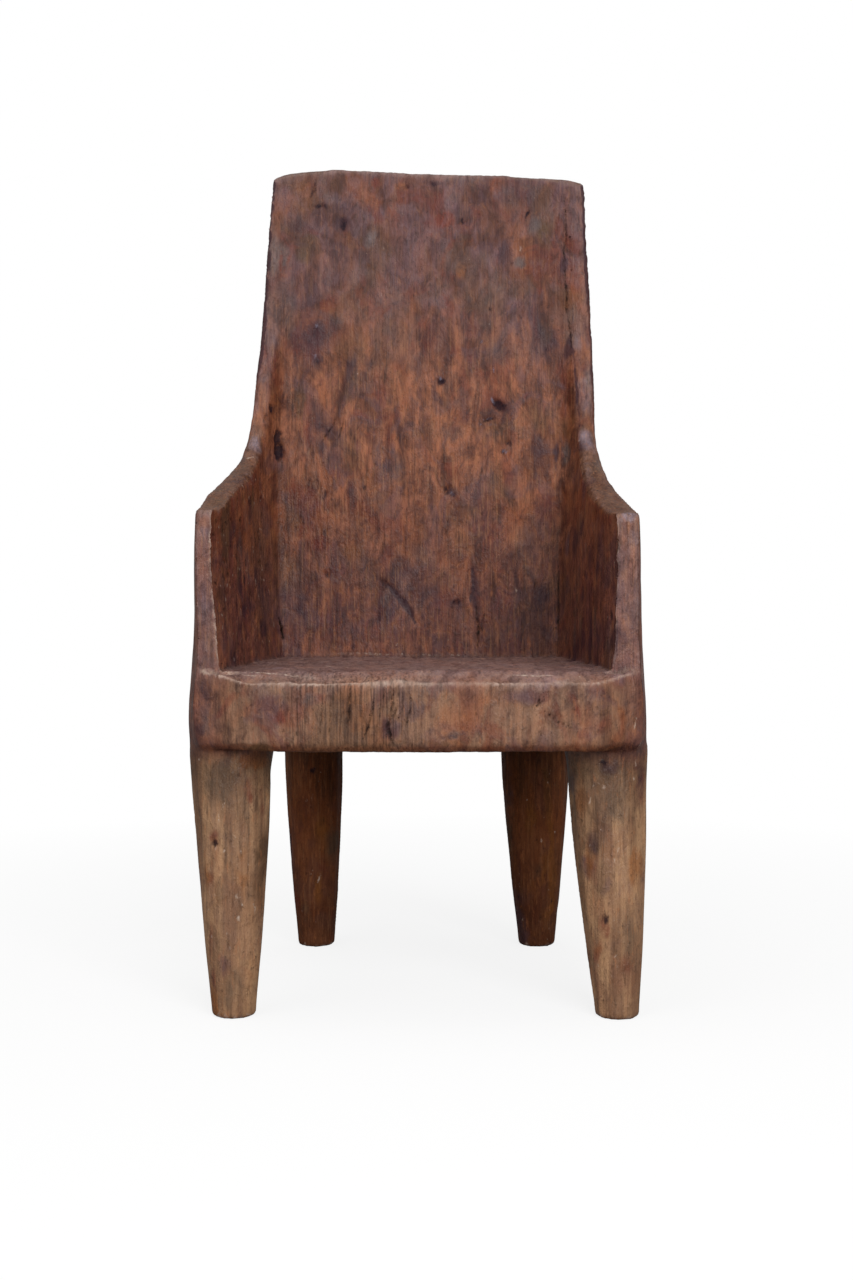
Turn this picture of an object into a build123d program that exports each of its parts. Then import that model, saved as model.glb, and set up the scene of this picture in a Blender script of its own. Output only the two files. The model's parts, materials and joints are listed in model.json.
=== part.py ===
from build123d import *
import os

# An armchair hewn from one tree trunk, in millimetres.
# The seat is a thick slab across the trunk. The back and the arms are the trunk's own wall,
# left standing above the seat, and the four legs are what is left of it below.
# The one block of timber is divided here into its members, which meet face to face.
# +X is to the right as seen from the front, +Y is to the back, +Z is up, and the floor is zero.
# Left and right in every name are as seen from the front.

# Overall sizes
body_width = 545.0
body_depth = 523.0
crest_height = 1082.5
seat_height = 398.0
slab_thickness = 90.0
nose_reach = 45.0

# Heights above the seat
left_arm_rise = 185.0
right_arm_rise = 180.0
rim_rise = 309.0
wall_root = 8.0

# How far each place on the trunk's side stands in from its widest, and how far the crest leans right
foot_inset = 20.0
arm_inset = 19.5
rim_inset = 33.5
crest_inset = 53.0
crest_drift = 14.5

# Walls
left_arm_thickness = 20.0
right_arm_thickness = 27.0
arm_foot_gain = 5.0
left_wall_thickness = 36.0
right_wall_thickness = 31.0
left_rim_thickness = 22.0
right_rim_thickness = 25.0
back_foot_thickness = 60.0
back_crest_thickness = 36.0
rim_depth = 44.0
crest_rim_depth = 4.0
corner_splay = 13.0
corner_radius = 10.0
back_dish = 5.0
rear_lean = 3.0

# Edges
crest_drop = 22.0
arm_nose_radius = 10.0
nose_wear_drop = 12.0
nose_wear_run = 34.0
nose_under_edge = 9.0
foot_edge = 3.0

# Legs
foot_diameter = 50.0
leg_top_width = 95.0
leg_top_depth = 94.0
leg_flare = 6.0
leg_root = 12.0

# The back node begins this far in front of the rims
arm_joint_setback = 14.0
overrun = 20.0


def between(low, high, share):
    """The value that lies that share of the way from low to high."""
    return low + share * (high - low)


# Planes and lines that several members share
underside = seat_height - slab_thickness
rim_foot = seat_height + rim_rise
front_y = nose_reach - body_depth / 2
rear_y = body_depth / 2
face_foot_y = rear_y - back_foot_thickness
face_crest_y = rear_y - rear_lean - back_crest_thickness
joint_z = seat_height + wall_root
leg_joint_z = underside - leg_root
half_width = body_width / 2

# Levels at which the trunk's outline is drawn, from the slab's underside to above the crest
arm_level = seat_height + (left_arm_rise + right_arm_rise) / 2
wall_share = 0.45
wall_level = between(seat_height, arm_level, wall_share)
mid_share = 0.41
mid_level = between(rim_foot, crest_height, mid_share)
upper_share = 0.85
upper_level = between(rim_foot, crest_height, upper_share)
top_level = crest_height + overrun
levels = (underside, seat_height, wall_level, arm_level, rim_foot, mid_level, upper_level, top_level)

# How much of its full amount each change has reached at each of those levels
drift_shares = (0.07, -0.055, -0.04, 0.03, 0.38, 0.76, 0.90, 1.0)
front_drift_shares = (0.14, 0.14, 0.08, 0.03, 0.38, 0.76, 0.90, 1.0)
splay_shares = (0.25, 0.25, 0.45, 0.6, 1.0, 1.1, 1.0, 0.95)
mid_width_share = 0.59
upper_width_share = 0.13


def face_y(level):
    """Where the back's inner face stands at a height. It leans back evenly from the seat to the crest."""
    return between(face_foot_y, face_crest_y, (level - seat_height) / (crest_height - seat_height))


joint_y = face_y(rim_foot) - rim_depth - arm_joint_setback


def rim_y(level):
    """Where the front edges of the rims stand at a height. They stand out most at their foot and soon sink back
    towards the inner face as they climb. Under the arms' ends the line goes straight down."""
    climb = min(1, max(0, (level - rim_foot) / (crest_height - rim_foot)))
    return face_y(max(level, rim_foot)) - between(crest_rim_depth, rim_depth, (1 - climb) ** 3)


# Half widths at each level: at the arms' front corners, at the belly behind them, and at the rims' line
foot_half = half_width - foot_inset
arm_half = half_width - arm_inset
rim_half = half_width - rim_inset
crest_half = half_width - crest_inset
mid_half = between(crest_half, rim_half, mid_width_share)
upper_half = between(crest_half, rim_half, upper_width_share)
front_halves = (foot_half, arm_half, arm_half, arm_half, rim_half, mid_half, upper_half, crest_half)
belly_share = 0.28
belly_width_shares = (0.9927, 0.9864, 0.973, 0.951)
belly_halves = tuple(half_width * share for share in belly_width_shares) + front_halves[4:]
rim_width_shares = (0.95, 0.965, 0.975, 0.985)
rim_halves = tuple(rim_half * share for share in rim_width_shares) + front_halves[4:]

# The rear of the outline, as shares of the rims' half width and of the depth behind the rims' line
rear_shares = ((0.985, 0.22), (0.91, 0.64), (0.70, 0.91), (0.36, 0.985))


def outer_points(index):
    """The trunk's outline at a level, from the left front corner round the back to the right one."""
    level = levels[index]
    rear = rear_y - rear_lean * max(0, (level - rim_foot) / (top_level - rim_foot))
    line = rim_y(level)
    half = [(belly_halves[index], between(front_y, line, belly_share)), (rim_halves[index], line)]
    half += [(rim_halves[index] * across, between(line, rear, back)) for across, back in rear_shares]
    drift = crest_drift * drift_shares[index]
    front_drift = crest_drift * front_drift_shares[index]
    left = [(front_drift - front_halves[index], front_y)] + [(drift - x, y) for x, y in half]
    right = [(drift + x, y) for x, y in reversed(half)] + [(front_drift + front_halves[index], front_y)]
    return left + [(drift, rear)] + right


def hollow_points(index, side):
    """The left (-1) or right (1) wall of the space between the arms: front, rim line and back corner."""
    level = levels[index]
    drift = crest_drift * drift_shares[index]
    front_drift = crest_drift * front_drift_shares[index]
    arm = left_arm_thickness if side < 0 else right_arm_thickness
    rim = left_rim_thickness if side < 0 else right_rim_thickness
    wall = left_wall_thickness if side < 0 else right_wall_thickness
    settled = min(1, max(0, (level - seat_height) / rim_rise))
    front_x = front_halves[index] - arm - arm_foot_gain * (1 - settled)
    line_x = rim_halves[index] - between(wall, rim, settled)
    corner_x = line_x - corner_splay * splay_shares[index]
    line = rim_y(level)
    slope = (front_x - line_x) / (line - front_y)
    mouth_x = front_x + slope * overrun
    return (
        (front_drift + side * mouth_x, front_y - overrun),
        (drift + side * line_x, line),
        (drift + side * corner_x, face_y(level)),
    )


with BuildPart() as trunk:
    for index, level in enumerate(levels):
        outline = outer_points(index)
        with BuildSketch(Plane.XY.offset(level)):
            with BuildLine():
                Spline(*outline)
                Line(outline[-1], outline[0])
            make_face()
    loft()

with BuildPart() as hollow:
    for index in range(1, len(levels)):
        left_mouth, left_line, left_corner = hollow_points(index, -1)
        right_mouth, right_line, right_corner = hollow_points(index, 1)
        face_middle = ((left_corner[0] + right_corner[0]) / 2, face_y(levels[index]) + back_dish)
        with BuildSketch(Plane.XY.offset(levels[index])) as hollow_section:
            with BuildLine():
                Polyline(left_corner, left_line, left_mouth, right_mouth, right_line, right_corner)
                ThreePointArc(right_corner, face_middle, left_corner)
            make_face()
            fillet(hollow_section.vertices().group_by(Axis.Y)[-1], corner_radius)
    loft()

# The front of the slab stands out past the arms in hewn facets
nose_shares = ((-0.687, 0.80), (-0.255, 1.0), (0.44, 0.98), (0.753, 0.86))

with BuildPart() as nose:
    with BuildSketch(Plane.XY.offset(underside)):
        with BuildLine():
            foot = outer_points(0)
            edge = [(half_width * across, front_y - nose_reach * out) for across, out in nose_shares]
            Polyline(foot[0], *edge, foot[-1])
            Polyline(foot[-1], (edge[-1][0], front_y + overrun), (edge[0][0], front_y + overrun), foot[0])
        make_face()
    extrude(amount=slab_thickness)
    rims = nose.edges().filter_by(lambda e: e.center().Y < front_y).filter_by(Plane.XY)
    chamfer(rims.group_by(Axis.Z)[-1], nose_wear_run, nose_wear_drop, reference=nose.faces().sort_by(Axis.Z)[-1])
    chamfer(rims.group_by(Axis.Z)[0], nose_under_edge)

# Each leg's foot and top stand at these shares of the half width and half depth, and each has its own width at the top
leg_place_shares = {
    "front_left_leg": ((-0.774, -0.74), (-0.795, -0.61)),
    "front_right_leg": ((0.846, -0.757), (0.814, -0.61)),
    "back_left_leg": ((-0.521, 0.757), (-0.535, 0.76)),
    "back_right_leg": ((0.6017, 0.757), (0.593, 0.75)),
}
leg_width_shares = {"front_left_leg": 0.99, "front_right_leg": 1.01, "back_left_leg": 0.885, "back_right_leg": 1.04}
# A leg swells from its foot to its top: how far up, and how much of the way to its full girth
leg_height_shares = (0.0, 0.12, 0.28, 0.43, 0.60, 0.80, 0.95)
leg_girth_shares = (0.0, 0.15, 0.37, 0.54, 0.72, 0.87, 1.0)

legs = {}
for name, (foot, top) in leg_place_shares.items():
    top_width = leg_top_width * leg_width_shares[name]
    stations = list(zip(leg_height_shares, leg_girth_shares)) + [(1.0, 1.0)]
    with BuildPart() as leg:
        for height, girth in stations:
            flare = leg_flare if height == 1.0 else 0
            x = half_width * between(foot[0], top[0], height)
            y = body_depth / 2 * between(foot[1], top[1], height)
            wide = between(foot_diameter, top_width, girth) + flare
            deep = between(foot_diameter, leg_top_depth, girth) + flare
            with BuildSketch(Plane.XY.offset(underside * height)):
                with Locations((x, y)):
                    Ellipse(wide / 2, deep / 2)
        loft()
        chamfer(leg.edges().group_by(Axis.Z)[0], foot_edge)
    legs[name] = leg.part

with BuildPart() as seat:
    add(trunk.part)
    split(bisect_by=Plane.XY.offset(joint_z), keep=Keep.BOTTOM)
    add(nose.part)
    for leg_part in legs.values():
        add(leg_part)
    split(bisect_by=Plane.XY.offset(leg_joint_z), keep=Keep.TOP)
    add(hollow.part, mode=Mode.SUBTRACT)
seat.part.label = "seat"

# The arms' upper edge rises gently from the front and then sweeps up into the rims of the back:
# how far along, and how much of the climb
left_sweep_shares = ((0.0, 0.0), (0.25, 0.165), (0.50, 0.35), (0.75, 0.57), (0.92, 0.79), (1.0, 1.0))
right_sweep_shares = ((0.0, 0.0), (0.25, 0.105), (0.50, 0.26), (0.75, 0.51), (0.92, 0.78), (1.0, 1.0))
rim_climb_shares = (0.12, 0.28, 0.50, 0.75)


def sweep_points(rise, shares):
    """The upper edge of an arm, seen from the side, from its front corner to the foot of the rim."""
    start = front_y + arm_nose_radius
    end = rim_y(rim_foot)
    return [(between(start, end, along), seat_height + between(rise, rim_rise, climb)) for along, climb in shares]


with BuildPart() as above_arms:
    for side, rise, shares in ((-1, left_arm_rise, left_sweep_shares), (1, right_arm_rise, right_sweep_shares)):
        sweep = sweep_points(rise, shares)
        nose_top = seat_height + rise
        rim_levels = [between(rim_foot, crest_height, climb) for climb in rim_climb_shares] + [top_level]
        rim_line = [(rim_y(level), level) for level in rim_levels]
        with BuildSketch(Plane.YZ):
            with BuildLine():
                Polyline((front_y - overrun, nose_top - arm_nose_radius), (front_y, nose_top - arm_nose_radius))
                RadiusArc((front_y, nose_top - arm_nose_radius), sweep[0], arm_nose_radius)
                Spline(*sweep, *rim_line, tangents=((body_depth, 0), (0, crest_height)))
                Polyline(
                    rim_line[-1],
                    (front_y - overrun, top_level),
                    (front_y - overrun, nose_top - arm_nose_radius),
                )
            make_face()
        extrude(amount=side * body_width)

# The crest's outline as seen from the front, as shares of its half span and of its drop
crest_shares = (
    (-1.08, 0.95),
    (-0.953, 0.41),
    (-0.876, 0.19),
    (-0.76, 0.05),
    (-0.50, 0.02),
    (-0.12, 0.20),
    (0.134, 0.295),
    (0.517, 0.32),
    (0.773, 0.47),
    (0.94, 0.77),
    (1.08, 1.4),
)

with BuildPart() as above_crest:
    with BuildSketch(Plane.XZ):
        with BuildLine():
            crest = [
                (crest_drift + crest_half * across, crest_height - crest_drop * drop)
                for across, drop in crest_shares
            ]
            Spline(*crest)
            Polyline(crest[-1], (crest[-1][0], top_level + overrun), (crest[0][0], top_level + overrun), crest[0])
        make_face()
    extrude(amount=body_depth, both=True)

with BuildPart() as shell:
    add(trunk.part)
    split(bisect_by=Plane.XY.offset(joint_z), keep=Keep.TOP)
    add(hollow.part, mode=Mode.SUBTRACT)
    add(above_arms.part, mode=Mode.SUBTRACT)
    add(above_crest.part, mode=Mode.SUBTRACT)

with BuildPart() as back:
    add(shell.part)
    split(bisect_by=Plane.XZ.offset(-joint_y), keep=Keep.BOTTOM)
back.part.label = "back"

with BuildPart() as left_arm:
    add(shell.part)
    split(bisect_by=Plane.XZ.offset(-joint_y), keep=Keep.TOP)
    split(bisect_by=Plane.YZ, keep=Keep.BOTTOM)
left_arm.part.label = "left_arm"

with BuildPart() as right_arm:
    add(shell.part)
    split(bisect_by=Plane.XZ.offset(-joint_y), keep=Keep.TOP)
    split(bisect_by=Plane.YZ, keep=Keep.TOP)
right_arm.part.label = "right_arm"

members = [seat.part, back.part, left_arm.part, right_arm.part]
for name, leg_part in legs.items():
    with BuildPart() as leg:
        add(leg_part)
        split(bisect_by=Plane.XY.offset(leg_joint_z), keep=Keep.BOTTOM)
    leg.part.label = name
    members.append(leg.part)

os.makedirs("parts", exist_ok=True)
for member in members:
    export_step(member, "parts/" + member.label + ".step")
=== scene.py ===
import json
import math
import bpy
import numpy as np
from mathutils import Euler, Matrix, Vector, noise
from mathutils.bvhtree import BVHTree
from mathutils.kdtree import KDTree

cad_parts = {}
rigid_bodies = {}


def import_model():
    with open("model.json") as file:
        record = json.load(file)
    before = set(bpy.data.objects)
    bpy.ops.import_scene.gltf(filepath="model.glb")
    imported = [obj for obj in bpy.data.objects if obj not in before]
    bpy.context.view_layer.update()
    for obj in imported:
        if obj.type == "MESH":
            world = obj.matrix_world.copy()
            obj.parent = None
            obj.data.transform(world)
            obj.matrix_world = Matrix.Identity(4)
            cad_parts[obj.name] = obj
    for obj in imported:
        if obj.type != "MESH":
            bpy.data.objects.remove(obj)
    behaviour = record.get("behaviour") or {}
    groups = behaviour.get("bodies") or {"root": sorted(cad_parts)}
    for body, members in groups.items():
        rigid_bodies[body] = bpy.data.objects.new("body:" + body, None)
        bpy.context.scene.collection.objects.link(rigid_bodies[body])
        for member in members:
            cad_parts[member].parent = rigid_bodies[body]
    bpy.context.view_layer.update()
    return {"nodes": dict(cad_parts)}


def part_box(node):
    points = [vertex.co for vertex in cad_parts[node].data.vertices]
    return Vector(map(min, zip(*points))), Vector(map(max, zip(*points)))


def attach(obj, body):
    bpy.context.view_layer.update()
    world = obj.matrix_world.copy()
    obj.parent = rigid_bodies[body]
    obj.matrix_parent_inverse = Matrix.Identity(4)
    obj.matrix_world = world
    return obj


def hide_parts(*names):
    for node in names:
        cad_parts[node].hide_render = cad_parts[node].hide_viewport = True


# An armchair hewn from one tree trunk. The solids give its form. Here the whole block is joined into
# one skin of timber, worked over as the carver's tools and long use did, and cut back into its members.

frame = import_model()
MM = 0.001

# Heights and depths taken from the frame. The slab's own node holds the roots of the walls above its top
# and those of the legs below its underside
WALL_ROOTS = 8 * MM
LEG_ROOTS = 12 * MM
JOINT_ABOVE_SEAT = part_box("seat")[1].z
JOINT_BELOW_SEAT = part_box("seat")[0].z
JOINT_BEHIND_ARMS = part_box("back")[0].y
SEAT = JOINT_ABOVE_SEAT - WALL_ROOTS
UNDERSIDE = JOINT_BELOW_SEAT + LEG_ROOTS
ARM_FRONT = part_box("left_arm")[0].y
LEGS = [name for name in frame["nodes"] if name.endswith("_leg")]
UP, BACK, RIGHT = Vector((0, 0, 1)), Vector((0, 1, 0)), Vector((1, 0, 0))


# The camera

FRAME_WIDE, FRAME_TALL = 853, 1280
MIDDLE_COLUMN = FRAME_WIDE / 2
HORIZON_ROW = 596
FOCAL_PIXELS = 1666
SENSOR_MM, LENS_MM = 36, 46.86
CAMERA_PLACE = (0.0110, -2.1165, 0.483)


def set_up_camera():
    """The photograph's view: level, from in front, a little right of the middle, at mid height."""
    lens = bpy.data.cameras.new("camera")
    lens.sensor_width = SENSOR_MM
    lens.lens = LENS_MM
    lens.shift_y = (HORIZON_ROW - FRAME_TALL / 2) / FRAME_TALL
    camera = bpy.data.objects.new("camera", lens)
    bpy.context.scene.collection.objects.link(camera)
    camera.location = CAMERA_PLACE
    camera.rotation_euler = (math.pi / 2, 0, 0)
    bpy.context.scene.camera = camera
    return camera


camera = set_up_camera()


# The block of timber

def select_only(*pieces):
    bpy.ops.object.select_all(action="DESELECT")
    for piece in pieces:
        piece.select_set(True)
    bpy.context.view_layer.objects.active = pieces[0]


def apply_modifiers(piece):
    select_only(piece)
    for modifier in list(piece.modifiers):
        bpy.ops.object.modifier_apply(modifier=modifier.name)


def join_members():
    """Copies of the eight members, merged and united into one piece."""
    select_only(*frame["nodes"].values())
    bpy.ops.object.duplicate()
    copies = list(bpy.context.selected_objects)
    bpy.ops.object.parent_clear(type="CLEAR_KEEP_TRANSFORM")
    for copy in copies:
        select_only(copy)
        bpy.ops.object.mode_set(mode="EDIT")
        bpy.ops.mesh.select_all(action="SELECT")
        bpy.ops.mesh.remove_doubles(threshold=0.01 * MM)
        bpy.ops.object.mode_set(mode="OBJECT")
    block = next(copy for copy in copies if copy.name.startswith("seat"))
    for other in copies:
        if other is not block:
            union = block.modifiers.new("union", "BOOLEAN")
            union.operation = "UNION"
            union.solver = "EXACT"
            union.object = other
            apply_modifiers(block)
            bpy.data.objects.remove(other)
    block.name = "timber"
    for key in list(block.keys()):
        del block[key]
    return block


ASKEW = (0.45, 0.35, 0.6)


def fine_skin(block):
    """An even skin of small squares that keeps the hewn edges crisp: each is about 3 mm across. The block
    lies askew meanwhile, for an edge that runs almost along the rows of squares would come out in steps."""
    askew = Euler(ASKEW).to_matrix().to_4x4()
    block.data.transform(askew)
    even = block.modifiers.new("even", "REMESH")
    even.mode = "SHARP"
    even.octree_depth = 9
    even.scale = 0.7
    apply_modifiers(block)
    block.data.transform(askew.inverted())


def soften(block, passes, where=""):
    """Smooths the skin that many times, all over or only as much as a vertex group says."""
    worn = block.modifiers.new("worn", "SMOOTH")
    worn.factor = 0.5
    worn.iterations = passes
    worn.vertex_group = where
    apply_modifiers(block)


def read_points(block):
    values = np.empty(len(block.data.vertices) * 3)
    block.data.vertices.foreach_get("co", values)
    return values.reshape(-1, 3)


def read_normals(block):
    values = np.empty(len(block.data.vertices) * 3)
    block.data.vertex_normals.foreach_get("vector", values)
    return values.reshape(-1, 3)


def write_points(block, points):
    block.data.vertices.foreach_set("co", points.reshape(-1))
    block.data.update()


def ease(values, low, high):
    """0 at low and 1 at high, with a smooth turn at both ends."""
    share = np.clip((values - low) / (high - low), 0, 1)
    return share * share * (3 - 2 * share)


def twin(block):
    copy = block.copy()
    copy.data = block.data.copy()
    bpy.context.scene.collection.objects.link(copy)
    return copy


def bulges(block, passes):
    """How far each point stands out of the same skin smoothed that many times, or below 0 how far in."""
    smooth = twin(block)
    soften(smooth, passes)
    out = ((read_points(block) - read_points(smooth)) * read_normals(block)).sum(1)
    bpy.data.objects.remove(smooth)
    return out


timber = join_members()
fine_skin(timber)
soften(timber, 6)


# Hewing

WEIGHT_STEPS = 20


def weigh(block, name, weights):
    """A vertex group of that name, in twenty steps of weight."""
    group = block.vertex_groups.new(name=name)
    steps = np.rint(np.clip(weights, 0, 1) * WEIGHT_STEPS).astype(int)
    for step in range(1, WEIGHT_STEPS + 1):
        members = np.flatnonzero(steps == step)
        if len(members):
            group.add(members.tolist(), step / WEIGHT_STEPS, "REPLACE")


def hew(block, size, depth, stretch, where, place, turn=0.0, layers=1):
    """Raises and sinks the surface in soft waves, as wide as size and drawn out along the grain. Place says
    which part of the noise they come from, so that no two sets of waves match."""
    clouds = bpy.data.textures.new("tool marks", "CLOUDS")
    clouds.noise_scale = size
    clouds.noise_depth = layers
    bpy.ops.object.empty_add(location=place, rotation=(0, turn, 0))
    guide = bpy.context.object
    guide.scale = (1, 1, stretch)
    waves = block.modifiers.new("hew", "DISPLACE")
    waves.texture = clouds
    waves.texture_coords = "OBJECT"
    waves.texture_coords_object = guide
    waves.strength = depth
    waves.mid_level = 0.5
    waves.vertex_group = where
    apply_modifiers(block)
    bpy.data.objects.remove(guide)
    bpy.data.textures.remove(clouds)


LEG_TOP = JOINT_BELOW_SEAT + 8 * MM
LEG_REACH = 80 * MM
LEG_LEVELS = 24
LEVEL_REACH = 14 * MM
FEWEST_CUTS = 9
CUT_STRENGTH = 0.55
CUT_FADE = 60 * MM


def hew_legs(points):
    """Long flat cuts down each leg, each a little broader or narrower than the next. They fade out towards
    its top, and each leg has its own number of them."""
    for number, name in enumerate(LEGS):
        low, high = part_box(name)
        near = points[:, 2] < LEG_TOP
        near &= np.abs(points[:, 0] - (low.x + high.x) / 2) < LEG_REACH
        near &= np.abs(points[:, 1] - (low.y + high.y) / 2) < LEG_REACH
        part = points[near]
        steps = np.linspace(0, LEG_TOP, LEG_LEVELS)
        centres = np.array([part[np.abs(part[:, 2] - step) < LEVEL_REACH].mean(0)[:2] for step in steps])
        core = np.column_stack([np.interp(part[:, 2], steps, centres[:, axis]) for axis in (0, 1)])
        arm = part[:, :2] - core
        turn = np.arctan2(arm[:, 1], arm[:, 0]) + 0.35 * number + 0.5 * part[:, 2]
        cuts = FEWEST_CUTS + number % 3
        uneven = turn + 0.12 * np.sin(2 * turn + number) + 0.08 * np.sin(3 * turn + 2 * number)
        within = np.mod(uneven * cuts / (2 * math.pi), 1) - 0.5
        flat = math.cos(math.pi / cuts) / np.cos(within * 2 * math.pi / cuts)
        keep = CUT_STRENGTH * ease(-part[:, 2], -JOINT_BELOW_SEAT, -JOINT_BELOW_SEAT + CUT_FADE)
        scale = 1 + keep * (flat / (0.5 + 0.5 * math.cos(math.pi / cuts)) - 1)
        part[:, :2] = core + arm * scale[:, None]
        points[near] = part


LIP_CLIMB = 12 * MM
LIP_LOWEST = 5 * MM


def raise_lip_ends(points):
    """The slab's upper front edge climbs at both ends, where it is less worn. It is lowest a little right
    of the middle."""
    x, y, z = points.T
    end = ease(-y, -ARM_FRONT - 2 * MM, -ARM_FRONT + 12 * MM)
    below_arm = ease(-z, -SEAT - 70 * MM, -SEAT - 16 * MM)
    corner = ease(np.abs(x), 0.222, 0.24) * ease(-y, 0.19, 0.21) * below_arm
    climb = ease(np.abs(x - LIP_LOWEST), 0.185, 0.256) * np.maximum(end, corner)
    points[:, 2] += LIP_CLIMB * climb * ease(z, SEAT - 55 * MM, SEAT - 16 * MM)


ARM_END_THINNING = 4 * MM
LEFT_LEG_FULLNESS = 3 * MM
CORNER_FULLNESS = 4.5 * MM
CORNER_HEIGHT = 0.345


def trim_corners(points, normals):
    """The arms thin out towards their front ends. The slab's front corners are fuller than its sides, and
    so is the outside of the front left leg near its top."""
    x, y, z = points.T
    towards_end = ease(-y, -ARM_FRONT - 45 * MM, -ARM_FRONT - 5 * MM)
    inner = ease(-normals[:, 0] * np.sign(x), 0.2, 0.7) * towards_end
    points[:, 0] += ARM_END_THINNING * np.sign(x) * inner * ease(z, SEAT + 2 * MM, SEAT + 30 * MM)
    haunch = (ease(np.abs(normals[:, 0]), 0.3, 0.7) * ease(z, 0.20, 0.285) * ease(-z, -0.31, -0.30)
              * ease(np.abs(x), 0.2, 0.23))
    points[:, 0] += np.where(x > 0, 0, -LEFT_LEG_FULLNESS) * haunch * ease(-y, 0.08, 0.10)
    corner = (ease(np.abs(x), 0.225, 0.25) * ease(-y, 0.205, 0.225)
              * ease(-np.abs(z - CORNER_HEIGHT), -0.06, -0.03))
    points[:, 0] += CORNER_FULLNESS * np.sign(x) * corner


# Where on the block each kind of tool mark goes, and how strongly, from 0 to 1 at each point
points = read_points(timber)
normals = read_normals(timber)
x, y, z = points.T
front = ease(-y, -ARM_FRONT - 4 * MM, -ARM_FRONT + 26 * MM)
lip = front * ease(z, SEAT - 46 * MM, SEAT - 12 * MM)
rear = ease(y, JOINT_BEHIND_ARMS, JOINT_BEHIND_ARMS + 90 * MM) * ease(normals[:, 1], 0.3, 0.8)
flank = ease(np.abs(x), 0.2, 0.235) * ease(normals[:, 0] * np.sign(x), 0.5, 0.9) * ease(y, -0.18, -0.06)
above_legs = ease(z, UNDERSIDE - 20 * MM, UNDERSIDE + 20 * MM)
sharp = ease(bulges(timber, 12), 0.3 * MM, 1.5 * MM)
calm = (1 - 0.5 * ease(np.abs(normals[:, 0]), 0.5, 0.9)) * (0.5 + 0.5 * above_legs) * (1 - 0.8 * sharp)
off_floor = ease(z, 2 * MM, 30 * MM)
checked = front * ease(-x, 0.085, 0.10) * ease(x, -0.17, -0.14) * above_legs
pitted = (ease(normals[:, 0], 0.6, 0.9) * ease(-x, 0.1, 0.15) * ease(z, SEAT, SEAT + 10 * MM)
          * ease(y, -0.205, -0.19))
weigh(timber, "skin", off_floor * calm)
weigh(timber, "edges", sharp * off_floor)
weigh(timber, "lip", lip)
fold = (ease(z, 0.56, 0.68) * ease(-y, -0.245, -0.235) * ease(np.abs(x), 0.12, 0.14)
        * ease(-normals[:, 1], -0.3, 0.1))
leg_roots = ease(-np.abs(z - UNDERSIDE - 4 * MM), -34 * MM, -14 * MM) * ease(np.abs(x), 0.2, 0.24)
weigh(timber, "fold", np.maximum(fold, leg_roots))
weigh(timber, "outside", np.maximum(rear, 0.25 * flank) * above_legs)
weigh(timber, "checked", np.maximum(checked, 0.8 * pitted) * (1 - 0.7 * sharp))
hew_legs(points)
raise_lip_ends(points)
trim_corners(points, normals)
write_points(timber, points)
soften(timber, 60, "fold")
soften(timber, 8, "edges")

# From the broad marks of the adze to the fine ones of the grain: width, depth and how far drawn out
hew(timber, 95 * MM, 5 * MM, 1.6, "skin", (0.31, 0.12, 0.05))
hew(timber, 34 * MM, 2.4 * MM, 1.9, "skin", (0.02, 0.43, 0.11), turn=0.12)
hew(timber, 42 * MM, 5 * MM, 1.0, "lip", (0.13, 0.05, 0.02))
hew(timber, 55 * MM, 7 * MM, 1.5, "outside", (0.05, 0.21, 0.31))
hew(timber, 15 * MM, 1.2 * MM, 2.6, "skin", (0.61, 0.03, 0.27))
hew(timber, 8 * MM, 0.9 * MM, 9, "skin", (0.07, 0.01, 0.2), layers=2)
hew(timber, 9 * MM, 2.2 * MM, 9, "checked", (0.17, 0.31, 0.12), layers=2)

# Knots, cracks, gouges and stains

points = read_points(timber)
normals = read_normals(timber)
# Both sources of chance start from one number. Left alone, the noise would differ from run to run
SEED = 11
chance = np.random.default_rng(SEED)
noise.seed_set(SEED)
skin = BVHTree.FromPolygons(points.tolist(), [tuple(face.vertices) for face in timber.data.polygons])
TONES = ("violet", "slate", "rust", "amber", "olive")
KINDS = ("knot", "crack", "stain", "pale", "painted_sheen", "painted_glint") + TONES
marks = {kind: np.zeros(len(points)) for kind in KINDS}


def stray(place):
    """A place moved a few millimetres this way and that, so that no mark keeps a neat outline."""
    place = Vector(place)
    broad = noise.noise_vector(place / (15 * MM)) * 4 * MM
    fine = noise.noise_vector(place / (5 * MM)) * 1.8 * MM
    return place + broad + fine


CRACK_STRAY = 0.4
strayed = np.array([stray(place) for place in points])
nudged = points + (strayed - points) * CRACK_STRAY
tree = KDTree(len(points))
for index, place in enumerate(strayed):
    tree.insert(place, index)
tree.balance()


def seen(across, down):
    """The point of the chair that shows at that place of the photograph's frame."""
    sight = Vector((across - MIDDLE_COLUMN, FOCAL_PIXELS, HORIZON_ROW - down))
    return skin.ray_cast(camera.location, sight.normalized())[0]


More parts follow.
